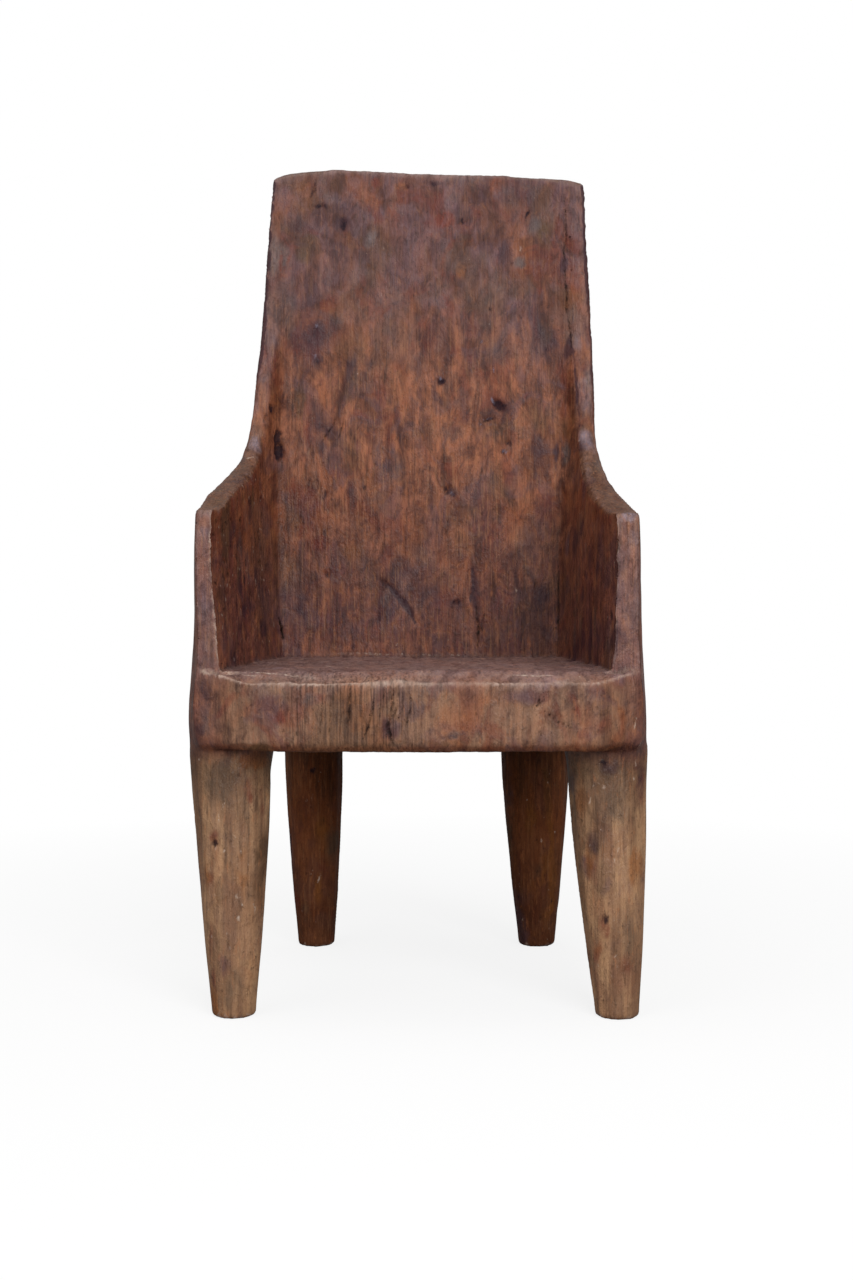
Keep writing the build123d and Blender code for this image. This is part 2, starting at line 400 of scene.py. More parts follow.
def dent(centre, wide, tall, depth=0.0, lean=0.0, kind="knot", strength=1.0):
    """A hollow pressed into the wood, or with no depth only a mark on it. Sizes are half widths in
    millimetres, and lean turns the mark clockwise, in degrees."""
    middle = stray(centre)
    found = tree.find_range(middle, max(wide, tall) * 1.2 * MM)
    near = np.array([index for _, index, _ in found], dtype=int)
    if not len(near):
        return
    out = Vector(normals[near].mean(0)).normalized()
    across = UP.cross(out).normalized() if abs(out.z) < 0.7 else RIGHT
    along = UP if abs(out.z) < 0.7 else BACK
    angle = math.radians(lean)
    offset = strayed[near] - np.array(middle)
    side, rise, deep = offset @ np.array(across), offset @ np.array(along), offset @ np.array(out)
    share = np.hypot((side * math.cos(angle) - rise * math.sin(angle)) / (wide * MM),
                     (side * math.sin(angle) + rise * math.cos(angle)) / (tall * MM))
    share = np.hypot(share, deep / (max(wide, tall) * MM))
    share = np.where(normals[near] @ np.array(out) > 0.2, share, 9)
    hold = np.clip(1 - share * share, 0, 1)
    points[near] -= normals[near] * (depth * MM * hold ** 1.5)[:, None]
    marks[kind][near] = np.maximum(marks[kind][near], strength * hold)


def split(ends, width, depth, kind="crack", strength=1.0):
    """A crack or cut along a line of points that tapers out at both ends. Its sizes are in millimetres."""
    ends = [np.array(Vector(end).lerp(stray(end), CRACK_STRAY)) for end in ends]
    lengths = [float(np.linalg.norm(b - a)) for a, b in zip(ends, ends[1:])]
    best = np.full(len(points), 9.0)
    place = np.zeros(len(points))
    for number, (a, b) in enumerate(zip(ends, ends[1:])):
        share = np.clip((nudged - a) @ (b - a) / lengths[number] ** 2, 0, 1)
        away = np.linalg.norm(nudged - (a + share[:, None] * (b - a)), axis=1)
        closer = away < best
        best[closer] = away[closer]
        place[closer] = (sum(lengths[:number]) + share[closer] * lengths[number]) / sum(lengths)
    taper = np.clip(4 * place * (1 - place), 0.05, 1) ** 0.5
    share = best / (width * MM * taper)
    points[:] -= normals * (depth * MM * np.clip(1 - share, 0, 1))[:, None]
    marks[kind] = np.maximum(marks[kind], strength * np.clip(1.3 - share, 0, 1))


def scatter(count, low, high, faces, size, depth, kind, strength, lean=6):
    """Small marks strewn at random over the faces that lie in a box and face that way."""
    inside = ((points > np.array(low)) & (points < np.array(high))).all(1)
    choice = np.flatnonzero(inside & (normals @ np.array(faces) > 0.6))
    for place in points[chance.choice(choice, count)].copy():
        grow = chance.uniform(0.6, 1.5)
        tall = size[1] * grow * chance.uniform(0.7, 1.4)
        deep = depth * chance.uniform(0.4, 1.2)
        tilt = chance.normal(0, lean)
        dent(place, size[0] * grow, tall, deep, tilt, kind, strength * chance.uniform(0.4, 1))


# The marks that show in the photograph. A place is given across and down in its frame, in pixels, half
# widths and depths are in millimetres, lean is in degrees, and strength runs from 0 to 1.

def lay(tones):
    """Tones that lie on the wood without any depth, each kind in patches: place, half sizes and strength."""
    for kind, patches in tones.items():
        for across, down, wide, tall, strength in patches:
            dent(seen(across, down), wide, tall, 0, 0, kind, strength)


def draw(lines, width, depth, kind, strength):
    """Cracks or pale lines of one sort, each given by the places that it runs through."""
    for places in lines:
        split([seen(*place) for place in places], width, depth, kind, strength)


# The back: its knots and dents, with place, half sizes, depth, lean and strength
BACK_KNOTS = (
    (442, 381, 7, 7, 1.8, 0, 1.0), (497, 404, 15, 10, 3.4, 30, 1.0), (489, 420, 12, 4, 2.4, -25, 0.6),
    (509, 443, 7, 7, 1.4, 0, 0.6), (503, 452, 5, 5, 1.2, 0, 0.8), (447, 490, 6, 9, 2.0, 0, 0.8),
    (453, 495, 5, 5, 1.2, 0, 0.7), (343, 224, 7, 15, 1.4, 0, 0.7), (315, 333, 6, 16, 1.4, 10, 0.35),
    (318, 362, 6, 10, 0.8, 8, 0.3), (348, 366, 6, 14, 0.8, 0, 0.3), (461, 221, 3.5, 8, 1.2, 10, 0.7),
    (527, 214, 4, 9, 1.6, 20, 0.8), (490, 309, 4, 4, 1.0, 0, 0.6), (482, 342, 4, 4, 1.0, 0, 0.5),
    (546, 350, 3, 9, 0.8, 0, 0.5), (548, 307, 5, 3, 1.0, -30, 0.5), (560, 247, 4, 5, 0.6, 0, 0.4),
    (554, 272, 2.4, 10, 0.8, 0, 0.5), (327, 574, 6, 6, 1.4, 0, 0.6), (314, 191, 4, 16, 0.8, 8, 0.7),
    (320, 206, 14, 6, 0.8, 0, 0.7), (408, 187, 6, 5, 0.8, 0, 0.6), (433, 184, 8, 5, 0.8, 0, 0.6),
    (384, 583, 7, 7, 1.4, 0, 0.6), (457, 602, 7, 6, 1.4, 0, 0.7), (339, 645, 14, 6, 0.8, 0, 0.4),
    (352, 470, 4, 12, 0.8, 8, 0.3), (325, 495, 4, 14, 1.0, 4, 0.5), (365, 487, 3, 9, 0.8, 14, 0.5),
    (545, 440, 4, 8, 0.8, 0, 0.5), (378, 236, 4, 8, 0.8, 8, 0.5),
)
# Bluish glints on the knots, painted highlights: place, half sizes and lean
GLINTS = (
    (492, 401, 7, 3, 40), (487, 419, 9, 2.4, -20), (480, 424, 5, 2, -10), (441, 379, 3.5, 2.5, 0),
    (482, 342, 2.4, 4, 0), (493, 369, 2, 7, 0), (316, 326, 2.4, 8, 8), (315, 356, 3, 5, 8),
    (505, 452, 5, 3, 0), (452, 494, 3, 3, 0),
)
# Deep holes in the left corner between the back and the arm: place, half sizes and depth
CORNER_HOLES = (
    (277, 438, 7, 16, 3.0), (279, 453, 8, 18, 4.0), (277, 446, 7, 18, 2.0), (271, 410, 6, 9, 2.0),
)
# Small pale chips round the holes and knots; those high on the back are painted glints
CHIPS_AND_GLINTS = (
    (277, 446), (281, 452), (276, 460), (273, 436), (378, 230), (374, 238), (383, 247), (312, 418),
    (340, 575),
)
# Broad soft tones, where the wax, smoke and wear of years lie unevenly; the pale lilac patches are painted
# sheen and highlights
BACK_TONES = {
    "violet": (
        (344, 193, 30, 22, 0.8), (374, 210, 34, 18, 0.8), (506, 194, 34, 22, 0.9),
        (340, 280, 16, 18, 0.6), (388, 464, 14, 14, 0.5), (409, 540, 26, 20, 0.6),
        (509, 305, 28, 20, 0.7), (388, 607, 20, 30, 0.9), (330, 380, 20, 30, 0.6),
        (450, 400, 16, 30, 0.4), (520, 380, 14, 24, 0.5), (300, 200, 16, 30, 0.5),
    ),
    "slate": (
        (369, 238, 20, 20, 0.55), (528, 262, 34, 14, 0.8), (292, 300, 10, 40, 0.5),
        (535, 225, 16, 22, 0.6), (272, 255, 12, 60, 0.7), (575, 330, 14, 50, 0.6),
        (588, 390, 14, 60, 0.7), (385, 600, 12, 16, 0.7), (505, 450, 14, 10, 0.7),
    ),
    "rust": (
        (375, 183, 10, 10, 0.9), (445, 219, 22, 18, 0.9), (497, 190, 12, 6, 0.9), (317, 545, 28, 18, 0.9),
        (442, 600, 30, 50, 0.8), (505, 605, 22, 34, 0.9), (340, 340, 24, 30, 0.8),
        (337, 600, 40, 40, 0.6), (320, 385, 14, 30, 0.6), (304, 335, 20, 70, 0.6),
        (312, 420, 18, 50, 0.6), (470, 350, 14, 30, 0.5), (430, 330, 20, 34, 0.4),
        (490, 500, 20, 20, 0.5),
    ),
    "amber": (
        (402, 186, 16, 10, 0.7), (460, 272, 12, 20, 0.8), (354, 554, 18, 24, 0.8),
        (400, 400, 40, 60, 0.4), (440, 450, 40, 40, 0.4), (350, 300, 20, 30, 0.3),
        (478, 540, 26, 30, 0.4), (410, 490, 30, 26, 0.3),
    ),
    "olive": (
        (308, 248, 26, 32, 0.8), (546, 240, 20, 40, 0.9), (293, 514, 20, 50, 0.5),
        (545, 330, 16, 40, 0.7), (300, 400, 12, 40, 0.6), (548, 420, 14, 40, 0.7),
        (530, 560, 14, 40, 0.5),
    ),
    "stain": (
        (496, 237, 30, 28, 0.6), (505, 250, 16, 34, 0.7), (343, 226, 18, 24, 0.7),
        (315, 335, 18, 32, 0.7), (318, 362, 16, 26, 0.6), (348, 366, 20, 32, 0.7),
        # The tall stains down the left side and the narrow ones beside the right rim are painted shade
        (498, 408, 30, 26, 0.8), (433, 183, 20, 8, 0.7), (306, 330, 34, 90, 0.5),
        (322, 420, 30, 60, 0.55), (548, 330, 26, 90, 0.5), (540, 450, 24, 70, 0.5),
        (515, 200, 60, 40, 0.4), (300, 230, 30, 60, 0.35), (500, 350, 24, 50, 0.35),
        (400, 570, 50, 30, 0.35), (350, 480, 24, 60, 0.35), (415, 330, 16, 40, 0.3),
        (460, 520, 20, 60, 0.3), (430, 590, 50, 40, 0.4), (546, 350, 12, 50, 0.5), (562, 264, 8, 22, 0.8),
        (569, 350, 8, 26, 0.8), (322, 440, 8, 30, 0.5), (455, 492, 12, 14, 0.5), (457, 604, 16, 14, 0.6),
        (478, 590, 10, 36, 0.8), (540, 606, 22, 60, 0.7), (300, 610, 16, 50, 0.6),
        (441, 381, 10, 10, 0.6),
    ),
    "painted_sheen": (
        (369, 238, 24, 20, 0.22), (340, 197, 34, 18, 0.3), (500, 192, 34, 16, 0.3),
        (533, 262, 34, 16, 0.22), (588, 443, 14, 26, 0.8), (253, 445, 12, 20, 0.7),
        (491, 425, 12, 4, 0.6), (545, 380, 4, 20, 0.3), (586, 400, 14, 46, 0.5), (583, 350, 12, 50, 0.4),
        (273, 330, 12, 50, 0.35), (262, 400, 10, 44, 0.35), (204, 513, 14, 7, 0.1),
        (629, 515, 14, 8, 0.7), (204, 530, 12, 14, 0.4), (203, 600, 8, 40, 0.35), (640, 560, 8, 40, 0.3),
        (282, 448, 10, 16, 0.3),
    ),
}
for across, down, wide, tall, depth, lean, strength in BACK_KNOTS:
    dent(seen(across, down), wide, tall, depth, lean, "knot", strength)
for across, down, wide, tall, lean in GLINTS:
    dent(seen(across, down), wide, tall, 0, lean, "painted_glint", 1.0)
for across, down, wide, tall, depth in CORNER_HOLES:
    dent(seen(across, down), wide, tall, depth)
for across, down in CHIPS_AND_GLINTS:
    dent(seen(across, down), 1.8, 4, 0, 0, "pale", 0.5)
lay(BACK_TONES)

# The arms: their inner walls, their tops and the worn edges at their front ends
ARM_TONES = {
    "olive": (
        (226, 530, 60, 40, 0.9), (220, 600, 30, 50, 0.7), (238, 500, 50, 20, 0.6),
        (575, 620, 60, 40, 0.6), (600, 470, 20, 20, 0.7), (217, 490, 20, 20, 0.7),
    ),
    "rust": (
        (246, 600, 50, 50, 0.9), (232, 560, 40, 30, 0.6), (592, 560, 40, 60, 0.7), (199, 560, 5, 60, 0.8),
        (199, 640, 5, 40, 0.7), (205, 600, 10, 20, 0.5),
    ),
    "violet": (
        (264, 600, 70, 60, 0.9), (266, 520, 50, 40, 0.6), (205, 640, 12, 30, 0.6),
        (636, 600, 12, 40, 0.5), (206, 545, 10, 20, 0.6), (634, 540, 12, 20, 0.6),
        (204, 513, 16, 10, 1.0),
    ),
    "amber": (
        (240, 525, 40, 40, 0.6), (225, 575, 30, 30, 0.6), (574, 500, 60, 60, 0.6),
        (602, 510, 30, 30, 0.6), (585, 600, 40, 40, 0.5), (642, 630, 10, 40, 0.5), (638, 580, 8, 20, 0.4),
    ),
    "stain": (
        (599, 545, 20, 24, 0.8), (255, 655, 60, 16, 0.7), (590, 645, 60, 20, 0.8),
        (229, 600, 30, 30, 0.4),
    ),
}
lay(ARM_TONES)

# Gouges and open cracks in the back, and shallow dark lines down the right rim that are partly painted
# shadow: the places that each runs through, width, depth, kind and strength
BACK_CRACKS = (
    (((279, 616), (282, 630), (284, 642)), 2.6, 3, "crack", 1.0),
    (((337, 416), (331, 428), (321, 443)), 2.6, 1.2, "crack", 0.6),
    (((345, 420), (338, 440)), 2.2, 1, "crack", 0.45),
    (((322, 402), (322, 430)), 2.2, 1, "crack", 0.45),
    (((386, 582), (398, 597), (410, 612), (416, 624)), 6, 1.6, "stain", 0.8),
    (((472, 566), (474, 585), (470, 602)), 4, 2, "stain", 1.0),
    (((476, 606), (479, 628), (477, 652)), 3, 1.8, "crack", 0.6),
    (((484, 612), (482, 640)), 2.6, 1, "crack", 0.4),
    (((558, 560), (558, 650)), 3, 1, "crack", 0.5),
    # Down the inner edge of the right rim: shallow grooves darkened as painted shadow
    (((565, 194), (566, 232), (563, 270)), 2.8, 0.8, "crack", 0.55),
    (((564, 264), (566, 305), (572, 350)), 2.8, 0.8, "crack", 0.6),
    (((572, 346), (577, 390), (579, 428)), 3.2, 0.8, "stain", 0.9),
)
# Pale lines low on both rims: painted highlights
RIM_LINES = ((579, 452), (592, 454)), ((246, 459), (257, 457)), ((578, 441), (590, 443))
BACK_FOOT_LINES = ((320, 653), (400, 654)), ((385, 654), (470, 656)), ((455, 656), (560, 657))
RIGHT_CORNER_LINE = (((521, 570), (521, 650)),)
# A dark band down the corner beside the right arm
RIGHT_CORNER_DARK_BAND = (556, 450)
dent(seen(*RIGHT_CORNER_DARK_BAND), 5, 30, 1.0, 0, "stain", 0.9)
for places, width, depth, kind, strength in BACK_CRACKS:
    draw([places], width, depth, kind, strength)
draw(RIM_LINES, 2.6, 0.2, "pale", 0.7)
draw(RIGHT_CORNER_LINE, 2.6, 0.8, "crack", 0.35)
draw(BACK_FOOT_LINES, 2.6, 0.6, "pale", 0.45)

# The slab's front: dark checks down the grain on its left half, each with the column of its top and of its
# low end, the rows of both, width, depth and strength. On the right there is a slanting row of small nicks
SLAB_CHECKS = (
    (350, 345, 684, 749, 2.8, 1.0, 0.6), (321, 320, 688, 740, 2.0, 1.0, 0.4),
    (331, 328, 690, 742, 2.0, 1.0, 0.4), (341, 339, 690, 745, 2.0, 1.0, 0.35),
    (377, 362, 686, 742, 2.4, 1.4, 0.6), (385, 372, 686, 744, 2.0, 0.9, 0.45),
    (394, 386, 688, 738, 2.8, 1.2, 0.55), (400, 392, 688, 726, 2.2, 1.2, 0.5),
    (386, 393, 722, 746, 3.6, 1.6, 0.6), (403, 398, 692, 722, 2.4, 1.2, 0.55),
    (411, 404, 694, 736, 2.4, 1.2, 0.5), (306, 305, 694, 738, 1.8, 0.7, 0.35),
    (296, 297, 700, 740, 1.8, 0.7, 0.35), (313, 312, 690, 735, 1.8, 0.7, 0.4),
    (288, 287, 692, 720, 1.8, 0.7, 0.3), (540, 533, 697, 712, 1.8, 0.8, 0.6),
    (544, 540, 696, 704, 1.8, 0.8, 0.5),
)
NICKS = [(545 + 4.6 * number, 712 + 2.8 * number) for number in range(6)]
SLAB_TONES = {
    "violet": (
        (274, 712, 22, 22, 0.8), (360, 690, 30, 10, 0.5), (460, 728, 40, 16, 0.6),
        (530, 695, 40, 14, 0.7), (392, 728, 14, 16, 0.8), (330, 700, 16, 20, 0.3),
    ),
    "slate": (
        (208, 720, 16, 30, 0.5), (310, 700, 12, 18, 0.6), (458, 735, 16, 8, 0.8), (622, 700, 16, 20, 0.5),
    ),
    "rust": (
        (283, 716, 12, 14, 0.7), (582, 715, 16, 24, 0.9), (575, 695, 14, 14, 0.7),
        (385, 735, 20, 10, 0.5),
    ),
    "amber": (
        (250, 710, 16, 20, 0.5), (362, 715, 12, 30, 0.7), (565, 712, 16, 16, 0.6),
        (620, 715, 14, 24, 0.7), (480, 700, 20, 12, 0.5), (440, 715, 20, 20, 0.3),
    ),
    "olive": (
        (225, 725, 30, 20, 0.7), (215, 695, 20, 14, 0.4), (600, 705, 16, 30, 0.6), (420, 744, 90, 5, 0.6),
    ),
    "stain": (
        (205, 700, 8, 30, 0.5), (385, 728, 14, 18, 0.6), (463, 733, 7, 6, 0.8), (448, 737, 16, 4, 0.6),
    ),
}
for top_across, low_across, top, low, width, depth, strength in SLAB_CHECKS:
    halfway = (top_across + low_across) / 2 + 1, (top + low) / 2
    draw([((top_across, top), halfway, (low_across, low))], width, depth, "crack", strength)
for nick in NICKS:
    dent(seen(*nick), 1.8, 2.6, 1.0, 30, "crack", 0.7)
lay(SLAB_TONES)

# The seat's worn top: pale scratches along its front edge, partly painted highlights, and tones, the pale
# lilac ones painted sheen
SEAT_LINES = (
    ((199, 669), (225, 668), (250, 670)), ((220, 672), (260, 676)), ((575, 671), (583, 684)),
    ((580, 670), (589, 683)), ((400, 668), (440, 671)), ((310, 664), (360, 668)),
    ((455, 662), (520, 664)), ((250, 672), (300, 676)), ((505, 676), (560, 675)),
)
SEAT_TONES = {
    "violet": (
        (300, 667, 50, 30, 0.6), (450, 670, 60, 30, 0.5), (560, 665, 40, 40, 0.6),
        (225, 675, 20, 14, 0.5),
    ),
    "rust": (
        (380, 662, 50, 40, 0.6), (330, 676, 40, 20, 0.5), (500, 680, 50, 20, 0.4),
    ),
    "amber": (
        (420, 676, 50, 20, 0.7), (260, 674, 30, 20, 0.5), (540, 678, 40, 20, 0.6),
        (470, 662, 50, 30, 0.5),
    ),
    "painted_sheen": (
        (540, 682, 50, 16, 0.4), (280, 668, 30, 20, 0.4), (620, 678, 14, 14, 0.4),
    ),
}
draw(SEAT_LINES, 2.4, 0.3, "pale", 0.7)
lay(SEAT_TONES)

# The legs: a knot with orange round it on the front left one, and smaller knots on two others
LEG_KNOTS = (
    (214, 843, 7, 6, 2.4, -30, "knot", 1.0), (213, 838, 10, 14, 0, -20, "rust", 0.9),
    (604, 763, 4, 8, 1.4, -20, "knot", 0.9), (605, 920, 6, 9, 1.2, 0, "knot", 0.8),
    (313, 770, 5, 7, 1.4, 0, "knot", 1.0),
)
LEG_TONES = {
    "slate": (
        (222, 790, 26, 50, 0.9), (235, 830, 16, 30, 0.5), (617, 800, 26, 40, 0.8),
        (236, 915, 10, 40, 0.7), (240, 970, 12, 40, 0.6), (630, 930, 14, 60, 0.5),
        (610, 880, 14, 30, 0.3),
    ),
    "rust": (
        (248, 790, 7, 26, 1.0), (603, 925, 10, 18, 0.8), (211, 940, 8, 40, 0.5), (262, 800, 8, 40, 0.5),
    ),
    "amber": (
        (258, 760, 18, 22, 1.0), (246, 760, 10, 12, 0.9), (245, 870, 16, 50, 0.5), (205, 870, 8, 40, 0.6),
        (250, 960, 12, 50, 0.5), (580, 800, 14, 40, 0.9), (590, 860, 10, 40, 0.8),
        (600, 960, 12, 40, 0.4), (322, 830, 14, 50, 0.9), (318, 890, 10, 30, 0.6),
        (530, 820, 10, 40, 0.8), (545, 860, 8, 60, 0.5),
    ),
    "olive": (
        (597, 895, 12, 34, 0.5), (583, 845, 8, 20, 0.6), (222, 900, 16, 40, 0.5), (612, 770, 30, 16, 0.6),
        (257, 745, 30, 6, 0.9),
    ),
    "stain": (
        (597, 890, 7, 20, 0.3), (611, 768, 22, 14, 0.5), (240, 830, 10, 14, 0.3), (520, 870, 8, 40, 0.5),
        (305, 800, 8, 50, 0.4),
    ),
}
LEG_STREAKS = ((545, 766), (549, 800), (553, 850)), ((552, 840), (553, 880), (551, 915))
# Small pale nicks: place, half height and lean
LEG_NICKS = (
    (223, 806, 10, 30), (219, 820, 10, 14), (234, 836, 8, -8), (237, 898, 10, 4), (238, 918, 7, 0),
    (255, 905, 16, 4), (254, 992, 6, 0), (601, 760, 9, 20), (618, 850, 8, 20), (620, 842, 7, -20),
    (614, 862, 7, 10), (607, 914, 6, 20), (636, 762, 16, 4), (616, 955, 7, 30), (590, 800, 10, 20),
    (224, 852, 5, 0), (640, 745, 10, 0), (630, 706, 8, 10), (635, 725, 12, 8), (600, 1008, 6, 0),
)
for across, down, *mark in LEG_KNOTS:
    dent(seen(across, down), *mark)
lay(LEG_TONES)
draw(LEG_STREAKS, 9, 0, "amber", 1.0)
for across, down, tall, lean in LEG_NICKS:
    dent(seen(across, down), 1.6, tall, 0.3, lean, "pale", 0.65)

# Pits, flecks, tones and fine checks wherever the eye can reach, as thick on the sides, back and underneath
# as in front. A region is a box by its two far corners
EVERYWHERE = (-0.3, -0.3, 0), (0.3, 0.3, 1.1)
LOW_DOWN = (-0.3, -0.3, 0), (0.3, 0.3, 0.3)
UNDERNEATH = (-0.3, -0.3, 0), (0.3, 0.3, 0.33)
SEAT_AND_BELOW = (-0.3, -0.3, 0), (0.3, 0.3, 0.41)
SLAB_FRONT = (-0.3, -0.3, 0.3), (0.3, -0.2, 0.41)
LEFT_WALL = (-0.24, -0.20, 0.40), (0.1, 0.15, 0.7)
RIGHT_WALL = (0.1, -0.22, 0.40), (0.26, 0.15, 0.7)
FACE = (-0.2, 0.1, 0.41), (0.2, 0.3, 1.05)
TO_FRONT, TO_REAR, TO_LEFT, TO_RIGHT = (0, -1, 0), (0, 1, 0), (-1, 0, 0), (1, 0, 0)
UPWARDS, DOWNWARDS = (0, 0, 1), (0, 0, -1)
scatter(30, *FACE, TO_FRONT, (3, 6), 0.8, "knot", 0.5)
scatter(30, *FACE, TO_FRONT, (9, 20), 0.5, "stain", 0.5)
scatter(50, *FACE, TO_FRONT, (1.8, 4), 0, "pale", 0.5)
scatter(140, *LEFT_WALL, TO_RIGHT, (8, 5), 1.6, "crack", 0.6)
# Pale specks on the pitted left wall: painted glints
scatter(240, *LEFT_WALL, TO_RIGHT, (5, 2.6), 0.3, "pale", 0.6)
scatter(40, *LEFT_WALL, TO_RIGHT, (24, 16), 1, "stain", 0.7)
scatter(60, *RIGHT_WALL, TO_LEFT, (6, 9), 1.2, "crack", 0.6)
scatter(30, *RIGHT_WALL, TO_LEFT, (26, 26), 1, "stain", 0.7)
scatter(40, *SLAB_FRONT, TO_FRONT, (2, 5), 0.8, "crack", 0.5)
scatter(50, *EVERYWHERE, TO_REAR, (5, 9), 1.8, "knot", 0.8)
scatter(60, *UNDERNEATH, DOWNWARDS, (5, 9), 1.6, "knot", 0.7)
scatter(40, *SEAT_AND_BELOW, UPWARDS, (2.4, 4), 0.8, "crack", 0.5)
scatter(110, *LOW_DOWN, TO_FRONT, (1.6, 5), 0.3, "pale", 0.6)
scatter(60, *LOW_DOWN, TO_FRONT, (2.6, 8), 0.8, "crack", 0.4)
for way in (TO_RIGHT, TO_LEFT, TO_REAR):
    scatter(40, *EVERYWHERE, way, (4, 9), 1.4, "knot", 0.7)
    scatter(40, *EVERYWHERE, way, (10, 26), 0.6, "stain", 0.6)
    scatter(60, *EVERYWHERE, way, (2, 5), 0.3, "pale", 0.6)
    for tone in TONES:
        scatter(22, *EVERYWHERE, way, (18, 34), 0, tone, 0.9)
for tone in TONES:
    scatter(14, *LOW_DOWN, TO_FRONT, (10, 26), 0, tone, 0.6)
    scatter(10, *SEAT_AND_BELOW, UPWARDS, (16, 16), 0, tone, 0.7)

# Long checks down the grain on the faces that the photograph doesn't show
LONG_CHECKS = 26
CHECK_POINTS = 5
EYE_AWAY = 1.5
for number in range(LONG_CHECKS):
    turn = chance.uniform(0, math.pi)
    high = chance.uniform(0.42, 1.0)
    long = chance.uniform(0.03, 0.12)
    ends = []
    for step in range(CHECK_POINTS):
        aside = turn + chance.normal(0, 0.012)
        down = long * step / (CHECK_POINTS - 1)
        eye = Vector((EYE_AWAY * math.cos(aside), EYE_AWAY * math.sin(aside), high - down))
        ends.append(skin.ray_cast(eye, Vector((-eye.x, -eye.y, 0)).normalized())[0])
    if all(ends):
        split(ends, chance.uniform(3, 4.4), chance.uniform(1, 2.6), strength=chance.uniform(0.4, 0.9))
write_points(timber, points)

# Wear and painted light: edges rubbed pale, partly painted highlight; hollows darkened as painted shade;
# places polished by hands; places out of their reach, darkened partly as painted shade; outer sides and
# upper tops darkened as painted shade

normals = read_normals(timber)
close = bulges(timber, 5)
wide = bulges(timber, 45)
x, y, z = points.T
outward = normals[:, 0] * np.sign(x)
on_seat = ease(normals[:, 2], 0.6, 0.9) * ease(-z, -SEAT - 14 * MM, -SEAT - 10 * MM)
walls = (ease(-outward, 0.5, 0.9) * ease(z, SEAT, SEAT + 10 * MM) * ease(-z, -0.78, -0.62)
         * ease(-y, -0.2, -0.1))
behind = ease(y, -0.05, 0.1) * ease(-z, -UNDERSIDE - 10 * MM, -UNDERSIDE)
# Pale worn edges where the skin bulges out, partly painted highlight
marks["edge"] = ease(close, 0.25 * MM, 0.8 * MM) * (0.7 + 0.5 * ease(-z, -SEAT - 4 * MM, -SEAT))
# Pale lines on the lip and the arms' inner front edges: rubbed wear, partly painted highlight
lip_edge = (ease(-np.abs(normals[:, 2] - 0.6), -0.35, -0.15) * ease(-y, 0.2, 0.22)
            * ease(-np.abs(z - SEAT), -24 * MM, -16 * MM))
inner_edge = (ease(-np.abs(outward + 0.65), -0.4, -0.15) * ease(-normals[:, 1], 0.25, 0.5)
              * ease(z, SEAT + 4 * MM, SEAT + 14 * MM))
inner_edge *= ease(-y, -ARM_FRONT - 14 * MM, -ARM_FRONT - 8 * MM) * ease(-x, -0.4, 0)
marks["rubbed_and_lit"] = np.maximum(lip_edge * (0.6 + 0.4 * ease(-x, -0.05, 0.05)), inner_edge)
# Hollows, small and broad, for painted shade
marks["hollow"] = 0.7 * ease(-close, 0.1 * MM, 0.9 * MM) + 0.4 * ease(-wide, 0, 3 * MM)
arm_ends = 0.45 * ease(-normals[:, 1], 0.7, 0.95) * ease(-y, -ARM_FRONT - 20 * MM, -ARM_FRONT - 8 * MM)
rims = 0.85 * ease(wide, 0.2 * MM, 2.2 * MM) * ease(-normals[:, 1], 0.1, 0.5)
marks["handled"] = np.maximum(np.maximum(rims, arm_ends), on_seat) * ease(z, SEAT - 30 * MM, SEAT)
# Inner walls of the arms, the legs behind and the undersides: out of reach of sun and wear, and painted
# darker there as shade
marks["shelter_and_shade"] = np.maximum(walls, np.maximum(behind, 0.7 * ease(-normals[:, 2], 0.4, 0.8)))
# Faces turned outwards at the sides, for painted shade
marks["flank"] = ease(outward, 0.45, 0.9) * ease(z, UNDERSIDE, SEAT)
marks["front"] = ease(-y, -ARM_FRONT - 4 * MM, -ARM_FRONT + 26 * MM)
# Faces turned up, high on the chair, for painted shade
marks["tops"] = ease(normals[:, 2], 0.25, 0.5) * ease(z, 0.45, 0.55)
marks["streaked"] = (ease(-np.abs(x + 75 * MM), -85 * MM, -55 * MM) * ease(-z, -SEAT, -SEAT + 8 * MM)
                     * above_legs)
# The outer sides high on the back, painted darker as shade, without a pale edge
outer_corner = ease(outward, 0.2, 0.6) * ease(-normals[:, 1], 0.0, 0.3) * ease(z, 0.70, 0.84)
marks["stain"] = np.maximum(marks["stain"], outer_corner)
marks["edge"] *= 1 - outer_corner
for kind, values in marks.items():
    attribute = timber.data.attributes.new(kind, "FLOAT", "POINT")
    attribute.data.foreach_set("value", np.clip(values, 0, 1).astype(np.float32))


# The wood

def linear(code):
    """A hex colour as Blender's linear red, green, blue and alpha."""
    shares = [int(code[i:i + 2], 16) / 255 for i in (1, 3, 5)]
    return [s / 12.92 if s <= 0.04045 else ((s + 0.055) / 1.055) ** 2.4 for s in shares] + [1.0]


def put(tree, kind, links=None, **settings):
    """Adds a node. Settings are its properties. Links maps its sockets to values or to other outputs."""
    made = tree.nodes.new(kind)
    for key, value in settings.items():
        setattr(made, key, value)
    for key, value in (links or {}).items():
        if isinstance(value, bpy.types.NodeSocket):
            tree.links.new(value, made.inputs[key])
        else:
            made.inputs[key].default_value = value
    return made


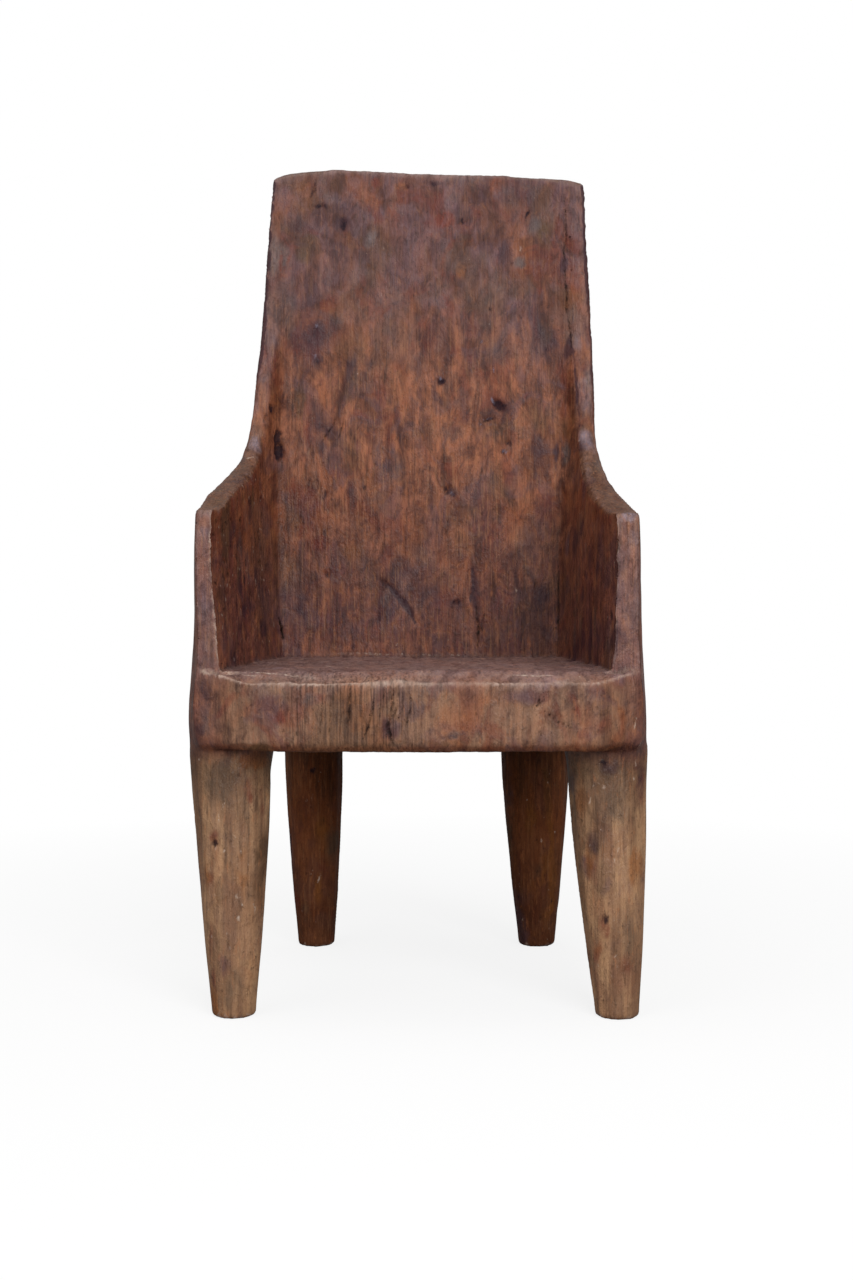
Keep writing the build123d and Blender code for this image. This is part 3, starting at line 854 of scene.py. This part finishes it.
def hewn_hardwood():
    """Old dense hardwood, hewn by hand, waxed and worn by hands for years.
    The eye sees upright grain, red-brown, purple-grey towards the top where weathering and a painted sheen
    lie on it, dark knots and a low uneven shine."""
    material = bpy.data.materials.new("hewn waxed hardwood")
    material.use_nodes = True
    tree = material.node_tree
    tree.nodes.clear()
    place = put(tree, "ShaderNodeTexCoord").outputs["Object"]
    height = put(tree, "ShaderNodeSeparateXYZ", {0: place}).outputs["Z"]

    def waves(mm, stretch, detail=2.0, rough=0.5, shift=0.0, twist=0.0, output="Fac"):
        """Cloudy noise whose features are that many millimetres across, and stretch times as tall."""
        drawn = put(tree, "ShaderNodeMapping", {
            "Vector": place, "Location": (shift, 0, 0), "Scale": (1, 0.4, 1 / stretch)})
        return put(tree, "ShaderNodeTexNoise", {
            "Vector": drawn.outputs[0], "Scale": 1 / (mm * MM), "Detail": detail, "Roughness": rough,
            "Distortion": twist}).outputs[output]

    def between(value, low, high, to_low=0.0, to_high=1.0):
        return put(tree, "ShaderNodeMapRange", {
            "Value": value, "From Min": low, "From Max": high, "To Min": to_low, "To Max": to_high},
            interpolation_type="SMOOTHSTEP").outputs[0]

    def times(a, b):
        return put(tree, "ShaderNodeMath", {0: a, 1: b}, operation="MULTIPLY").outputs[0]

    def over(share, under, top):
        top = linear(top) if isinstance(top, str) else top
        return put(tree, "ShaderNodeMix", {"Factor": share, 6: under, 7: top}, data_type="RGBA").outputs[2]

    def kept(name):
        return put(tree, "ShaderNodeAttribute", attribute_name=name).outputs["Fac"]

    # The figure of the wood, broad to fine. Real fibre and flecks are finer than a picture of the whole
    # chair can show, so here they are drawn 2.4 and 4 mm across
    flame = waves(30, 2.4, 5, 0.62, twist=1.2)
    staves = waves(13, 14, 3, 0.55, shift=7.7, twist=0.4)
    tones = waves(42, 1.5, 4, 0.55, shift=6.3, twist=0.8, output="Color")
    tones = put(tree, "ShaderNodeSeparateColor", {0: tones}).outputs
    fields = waves(90, 1.4, 4, 0.6, shift=3.1, output="Color")
    fields = put(tree, "ShaderNodeSeparateColor", {0: fields}).outputs
    mottle = waves(11, 1.8, 4, 0.65, shift=2.2, twist=0.8)
    swirl = waves(26, 1.8, 3, 0.55, shift=8.8, twist=2.0)
    smoke = waves(22, 1.7, 4, 0.62, shift=12.0, twist=1.2)
    dashes = waves(4, 5, 3, 0.65, shift=4.4, twist=0.4)
    grain = waves(5, 13, 3, 0.62, shift=1.3, twist=0.3)
    fibre = waves(2.4, 22, 2, 0.6, shift=5.9)
    fleck = waves(4, 1.6, 3, 0.7, shift=9.2)

    # Parts of the chair
    crown = between(height, 0.74, 0.98)
    above_slab = between(height, SEAT - 40 * MM, SEAT + 20 * MM, 0.6, 1)
    plain = times(between(height, 0.70, 0.95, 1, 0.5), above_slab)
    slab = times(kept("front"), between(height, SEAT + 4 * MM, SEAT - 12 * MM))
    legs = between(height, UNDERSIDE + 10 * MM, UNDERSIDE - 30 * MM)
    foot = times(times(between(height, 0.66, 0.44), between(slab, 0, 1, 1, 0)), between(legs, 0, 1, 1, 0))
    low_leg_shade = between(height, 0.22, 0.03)
    ragged = between(fleck, 0.25, 0.7, 0.5, 1.5)
    clouded = between(tones["Red"], 0.3, 0.7, 0.5, 1.5)

    def zone(share, under, dark, light, by=flame):
        """A dark and a light colour that take turns by a noise, laid over what is there."""
        return over(share, under, over(between(by, 0.34, 0.68), linear(dark), light))

    def tone(name, field, low, share, under, code):
        """A hue that shows where it was laid on, and faintly wherever its noise is high."""
        laid = between(times(kept(name), clouded), 0.2, 0.9, 0, 0.85)
        grown = times(between(field, low, low + 0.12, 0, share), between(legs, 0, 1, 1, 0.35))
        return over(grown, over(laid, under, code), code)

    # Ground colours, then the purple-grey top and stains of each part, then the figure, then wear, painted
    # light and shade, and marks
    colour = zone(1.0, linear("#6b4029"), "#4d271d", "#9d6145")
    colour = zone(times(slab, 0.85), colour, "#785a49", "#9c765d", staves)
    colour = zone(times(legs, 0.95), colour, "#86644b", "#b68d69", staves)
    colour = zone(times(kept("shelter_and_shade"), 0.8), colour, "#723826", "#b0694a", fields["Red"])
    # Sheltered legs in orange-brown, darker towards the floor as painted shade
    back_legs = over(low_leg_shade, linear("#8e4a1e"), "#4e2a14")
    colour = over(times(times(kept("shelter_and_shade"), legs), 0.6), colour, back_legs)
    # The purple-grey top of the back: partly weathered colour, partly painted sheen
    bloom_and_sheen = over(between(tones["Red"], 0.36, 0.62), linear("#372124"), "#654a4f")
    colour = over(times(crown, 0.65), colour, bloom_and_sheen)
    colour = tone("violet", tones["Green"], 0.50, 0.5, colour, "#5d444a")
    colour = tone("rust", tones["Blue"], 0.51, 0.5, colour, "#6f3022")
    colour = tone("amber", fields["Blue"], 0.52, 0.4, colour, over(legs, linear("#965731"), "#94592b"))
    colour = tone("olive", fields["Red"], 0.52, 0.45, colour, "#553c28")
    colour = tone("slate", fields["Green"], 0.56, 0.35, colour, over(legs, linear("#60524f"), "#655040"))
    colour = over(times(foot, between(mottle, 0.3, 0.6, 0.15, 0.5)), colour, "#594046")
    # Upward tops of the arms and back drawn darker: painted shade
    shaded_tops = over(between(mottle, 0.35, 0.65), linear("#472f21"), "#735541")
    colour = over(times(kept("tops"), 0.7), colour, shaded_tops)
    polish = over(slab, linear("#8b7370"), "#967a72")
    colour = over(times(kept("handled"), between(mottle, 0.3, 0.65, 0.85, 0.4)), colour, polish)
    # Pale lilac patches: painted sheen and highlights
    colour = over(between(times(kept("painted_sheen"), clouded), 0.1, 0.9, 0, 0.8), colour, "#87767f")
    # The outer sides in a darker red-brown: painted shade
    colour = zone(times(kept("flank"), 0.65), colour, "#5a2e23", "#844a36", staves)
    # The legs darker just below the slab: painted shadow
    colour = over(times(legs, between(height, 0.235, 0.30, 0, 0.5)), colour, "#3a2517")
    leg_tops = times(legs, between(height, 0.13, 0.24))
    colour = over(times(leg_tops, between(grain, 0.38, 0.66, 0.15, 0.5)), colour, "#4a372a")
    off_legs = between(legs, 0, 1, 1, 0.4)
    colour = over(times(between(smoke, 0.50, 0.66, 0, 0.4), off_legs), colour, "#372021")
    # Lighter patches, orange lower down and violet-grey at the top, where they are partly painted sheen
    gleam = over(crown, linear("#a3694b"), "#84656a")
    colour = over(times(between(smoke, 0.47, 0.30, 0, 0.25), off_legs), colour, gleam)
    mild = between(legs, 0, 1, 0.45, 0.12)
    colour = over(times(between(mottle, 0.50, 0.72), mild), colour, "#3b2019")
    colour = over(times(between(mottle, 0.46, 0.26), times(mild, 0.5)), colour, "#a97350")
    # Near-black over sheltered places, most on the legs: painted shade
    colour = over(times(kept("shelter_and_shade"), between(legs, 0, 1, 0.15, 0.4)), colour, "#1e0a03")
    colour = over(times(between(swirl, 0.478, 0.5), between(swirl, 0.522, 0.5, 0, 0.2)), colour, "#341d1a")
    colour = over(times(plain, between(grain, 0.54, 0.70, 0, 0.42)), colour, "#301c15")
    colour = over(times(plain, between(grain, 0.44, 0.26, 0, 0.15)), colour, "#a8754a")
    broken = times(between(height, 0.62, 0.90, 1, 0.3), between(kept("handled"), 0, 0.8, 1, 0.4))
    colour = over(times(broken, between(dashes, 0.56, 0.72, 0, 0.28)), colour, "#a9683f")
    colour = over(times(broken, between(dashes, 0.44, 0.28, 0, 0.4)), colour, "#3a1d15")
    colour = over(times(plain, between(fibre, 0.54, 0.68, 0, 0.3)), colour, "#2f1b15")
    colour = over(times(plain, between(fibre, 0.46, 0.32, 0, 0.2)), colour, "#b07f58")
    colour = over(times(kept("streaked"), between(fibre, 0.48, 0.6, 0, 0.45)), colour, "#33221b")
    colour = over(between(fleck, 0.60, 0.70, 0, 0.45), colour, "#261512")
    in_the_open = between(kept("shelter_and_shade"), 0, 1, 1, 0.5)
    colour = over(times(between(fleck, 0.30, 0.24, 0, 0.35), in_the_open), colour, "#a98a78")
    # Painted shade in the hollows
    colour = over(times(kept("hollow"), 0.55), colour, "#26140f")
    # Pale worn edges, partly painted highlight
    colour = over(between(times(kept("edge"), times(ragged, clouded)), 0.15, 1.2, 0, 0.7), colour, "#ab9184")
    # Pale rubbed edges, partly painted highlight
    colour = over(times(kept("rubbed_and_lit"), between(mottle, 0.3, 0.6, 0.8, 0.3)), colour, "#b39c8d")
    colour = over(between(times(kept("stain"), clouded), 0.15, 0.8, 0, 0.75), colour, "#33202a")
    colour = over(between(times(kept("pale"), ragged), 0.25, 0.9, 0, 0.85), colour, "#bba697")
    colour = over(between(times(kept("knot"), ragged), 0.1, 0.9, 0, 0.85), colour, "#1e161f")
    # Painted bluish highlights on the knots
    colour = over(between(times(kept("painted_glint"), ragged), 0.1, 1.0, 0, 0.55), colour, "#7c7585")
    colour = over(between(times(kept("crack"), ragged), 0.15, 0.9, 0, 0.9), colour, "#130b09")

    # Relief too fine for the mesh, and a shine that fails in knots, cracks and sheltered places
    relief = put(tree, "ShaderNodeBump", {"Strength": 0.5, "Distance": 0.6 * MM, "Height": fibre})
    for pattern, strength, depth in ((grain, 0.7, 1.6), (mottle, 0.6, 3.0), (fleck, 0.6, 1.6)):
        relief = put(tree, "ShaderNodeBump", {
            "Strength": strength, "Distance": depth * MM, "Height": pattern, "Normal": relief.outputs[0]})
    sunk = put(tree, "ShaderNodeMath", {0: kept("shelter_and_shade"), 1: kept("knot")}, operation="MAXIMUM").outputs[0]
    sunk = put(tree, "ShaderNodeMath", {0: sunk, 1: kept("crack")}, operation="MAXIMUM").outputs[0]
    shader = put(tree, "ShaderNodeBsdfPrincipled", {
        "Base Color": colour, "Roughness": between(tones["Red"], 0.35, 0.65, 0.52, 0.36),
        "Specular IOR Level": between(sunk, 0, 0.8, 0.2, 0.04), "Normal": relief.outputs[0]})
    put(tree, "ShaderNodeOutputMaterial", {"Surface": shader.outputs[0]})
    return material


timber.data.materials.clear()
timber.data.materials.append(hewn_hardwood())

# Cutting the block back into its members

ABOVE = Vector((0, 0, JOINT_ABOVE_SEAT))
BELOW = Vector((0, 0, JOINT_BELOW_SEAT))
BEHIND = Vector((0, JOINT_BEHIND_ARMS, 0))
MIDDLE = Vector((0, 0, 0))

# Each member is what is left when the block is sawn at these planes and the far side of each is taken away
MEMBERS = {
    "seat": [(ABOVE, UP), (BELOW, -UP)],
    "back": [(ABOVE, -UP), (BEHIND, -BACK)],
    "left_arm": [(ABOVE, -UP), (BEHIND, BACK), (MIDDLE, RIGHT)],
    "right_arm": [(ABOVE, -UP), (BEHIND, BACK), (MIDDLE, -RIGHT)],
    "front_left_leg": [(BELOW, UP), (MIDDLE, BACK), (MIDDLE, RIGHT)],
    "front_right_leg": [(BELOW, UP), (MIDDLE, BACK), (MIDDLE, -RIGHT)],
    "back_left_leg": [(BELOW, UP), (MIDDLE, -BACK), (MIDDLE, RIGHT)],
    "back_right_leg": [(BELOW, UP), (MIDDLE, -BACK), (MIDDLE, -RIGHT)],
}


def saw_out(name, cuts):
    """A copy of the block, cut at each plane and closed again with a flat face."""
    select_only(timber)
    bpy.ops.object.duplicate()
    member = bpy.context.object
    member.name = name
    for place, away in cuts:
        bpy.ops.object.mode_set(mode="EDIT")
        bpy.ops.mesh.select_all(action="SELECT")
        bpy.ops.mesh.bisect(plane_co=place, plane_no=away, clear_outer=True)
        bpy.ops.mesh.select_all(action="SELECT")
        bpy.ops.mesh.fill_holes(sides=0)
        bpy.ops.object.mode_set(mode="OBJECT")
    select_only(member)
    bpy.ops.object.shade_smooth_by_angle(angle=math.radians(60))
    member.vertex_groups.clear()
    return member


for name, cuts in MEMBERS.items():
    member = saw_out("carved_" + name, cuts)
    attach(member, "root")
    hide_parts(name)
bpy.data.objects.remove(timber)


# Floor, backdrop and light

def studio_floor():
    """A white sweep that keeps only the chair's soft shadow and fades into the backdrop."""
    bpy.ops.mesh.primitive_plane_add(size=12)
    floor = bpy.context.object
    floor.name = "floor"
    material = bpy.data.materials.new("white sweep")
    material.use_nodes = True
    tree = material.node_tree
    tree.nodes.clear()
    by_eye = put(tree, "ShaderNodeLightPath").outputs["Is Camera Ray"]
    place = put(tree, "ShaderNodeTexCoord").outputs["Object"]
    far = put(tree, "ShaderNodeVectorMath", {0: place}, operation="LENGTH").outputs["Value"]
    glow = put(tree, "ShaderNodeMapRange", {
        "Value": far, "From Min": 0.5, "From Max": 1.6, "To Min": 0.84, "To Max": 1.0})
    white = put(tree, "ShaderNodeEmission", {"Color": (1, 1, 1, 1), "Strength": 1.0})
    paint = put(tree, "ShaderNodeBsdfDiffuse", {"Color": (1, 1, 1, 1)})
    shown = put(tree, "ShaderNodeMixShader", {0: glow.outputs[0], 1: paint.outputs[0], 2: white.outputs[0]})
    dull = put(tree, "ShaderNodeBsdfDiffuse", {"Color": linear("#8a8a8a")})
    both = put(tree, "ShaderNodeMixShader", {0: by_eye, 1: dull.outputs[0], 2: shown.outputs[0]})
    put(tree, "ShaderNodeOutputMaterial", {"Surface": both.outputs[0]})
    floor.data.materials.append(material)


def studio_world():
    """Faint even light all round, and plain white wherever the camera looks past the chair."""
    world = bpy.data.worlds.new("white room")
    bpy.context.scene.world = world
    world.use_nodes = True
    tree = world.node_tree
    tree.nodes.clear()
    by_eye = put(tree, "ShaderNodeLightPath").outputs["Is Camera Ray"]
    level = put(tree, "ShaderNodeMapRange", {"Value": by_eye, "To Min": 0.3, "To Max": 1.0})
    light = put(tree, "ShaderNodeBackground", {"Color": (1, 1, 1, 1), "Strength": level.outputs[0]})
    put(tree, "ShaderNodeOutputWorld", {"Surface": light.outputs[0]})


def soft_box(name, place, target, width, power):
    light = bpy.data.lights.new(name, "AREA")
    light.shape = "SQUARE"
    light.size = width
    light.energy = power
    box = bpy.data.objects.new(name, light)
    bpy.context.scene.collection.objects.link(box)
    box.location = place
    box.rotation_euler = (Vector(target) - Vector(place)).to_track_quat("-Z", "Y").to_euler()


studio_floor()
studio_world()
soft_box("key", (1.1, -3.2, 1.9), (0, 0, 0.5), 2.2, 102)
soft_box("fill", (-2.4, -2.4, 1.0), (0, 0, 0.4), 2.0, 24)
soft_box("top", (-0.4, -0.3, 3.2), (0, 0, 0.4), 2.0, 26)
bpy.context.scene.view_settings.view_transform = "Standard"
